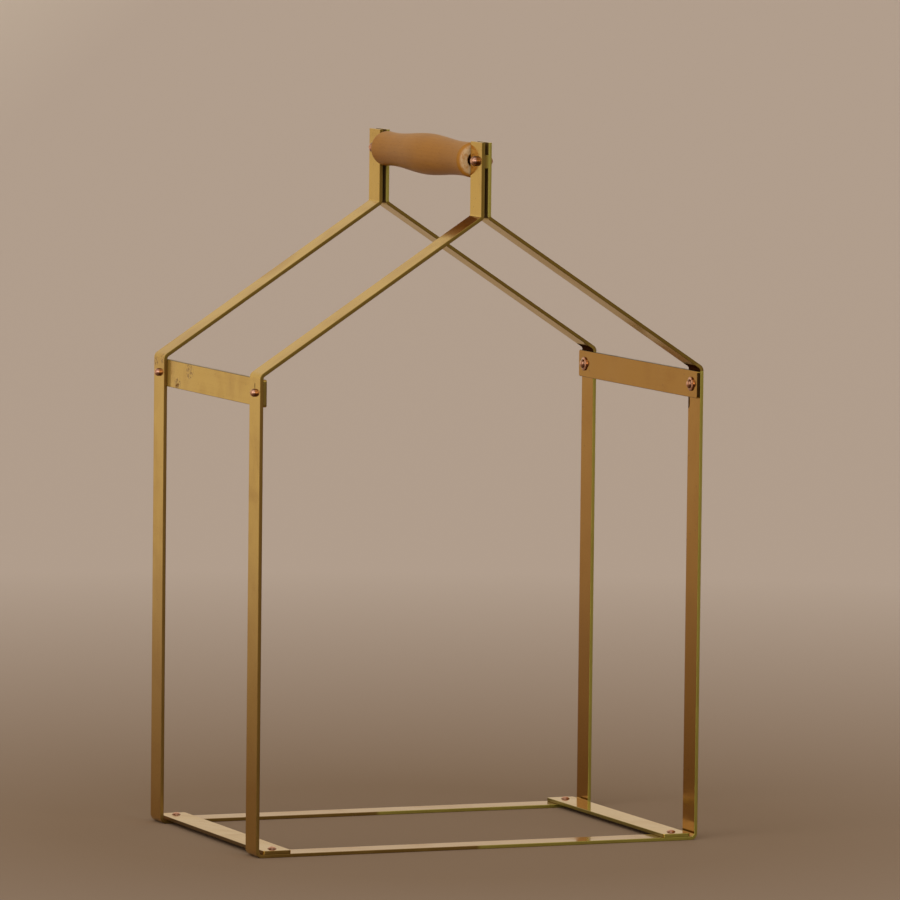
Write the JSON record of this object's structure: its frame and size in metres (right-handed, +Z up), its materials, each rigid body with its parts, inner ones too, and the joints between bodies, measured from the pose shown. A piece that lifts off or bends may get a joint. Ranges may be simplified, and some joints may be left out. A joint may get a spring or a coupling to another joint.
{
  "type": "log carrier",
  "caption": "Open log carrier: two house-shaped frames of flat brass bar tied by riveted cross bars, with a turned wooden grip that spins on a strap between their posts.",
  "frame": {"origin": "on the floor, under the middle of the carrier", "axes": "+Z up, +X to the carrier's right and -Y out of the front frame, so the grip lies along Y"},
  "size_m": [0.408, 0.256, 0.5946],
  "materials": {
    "brass_bar": "polished, slightly aged, with fine drawing lines along the bar",
    "copper_rivet": "hammered copper, darkened round the edges",
    "turned_wood": "turned and lightly waxed"
  },
  "bodies": {
    "carrier": {"front_frame": "brass_bar", "rear_frame": "brass_bar", "left_eave_bar": "brass_bar", "right_eave_bar": "brass_bar", "left_base_bar": "brass_bar", "right_base_bar": "brass_bar", "handle_strap": "brass_bar", "front_handle_rivet": "copper_rivet", "rear_handle_rivet": "copper_rivet", "front_left_eave_rivet": "copper_rivet", "rear_left_eave_rivet": "copper_rivet", "front_right_eave_rivet": "copper_rivet", "rear_right_eave_rivet": "copper_rivet", "front_left_eave_burr": "copper_rivet", "rear_left_eave_burr": "copper_rivet", "front_right_eave_burr": "copper_rivet", "rear_right_eave_burr": "copper_rivet", "front_left_base_rivet": "copper_rivet", "rear_left_base_rivet": "copper_rivet", "front_right_base_rivet": "copper_rivet", "rear_right_base_rivet": "copper_rivet"},
    "grip": {"grip": "turned_wood"}
  },
  "joints": [
    {"name": "grip_spin", "type": "hinge", "parent": "carrier", "child": "grip", "pos_m": [0, 0, 0.5771], "axis": [0, 1, 0], "continuous": true}
  ]
}
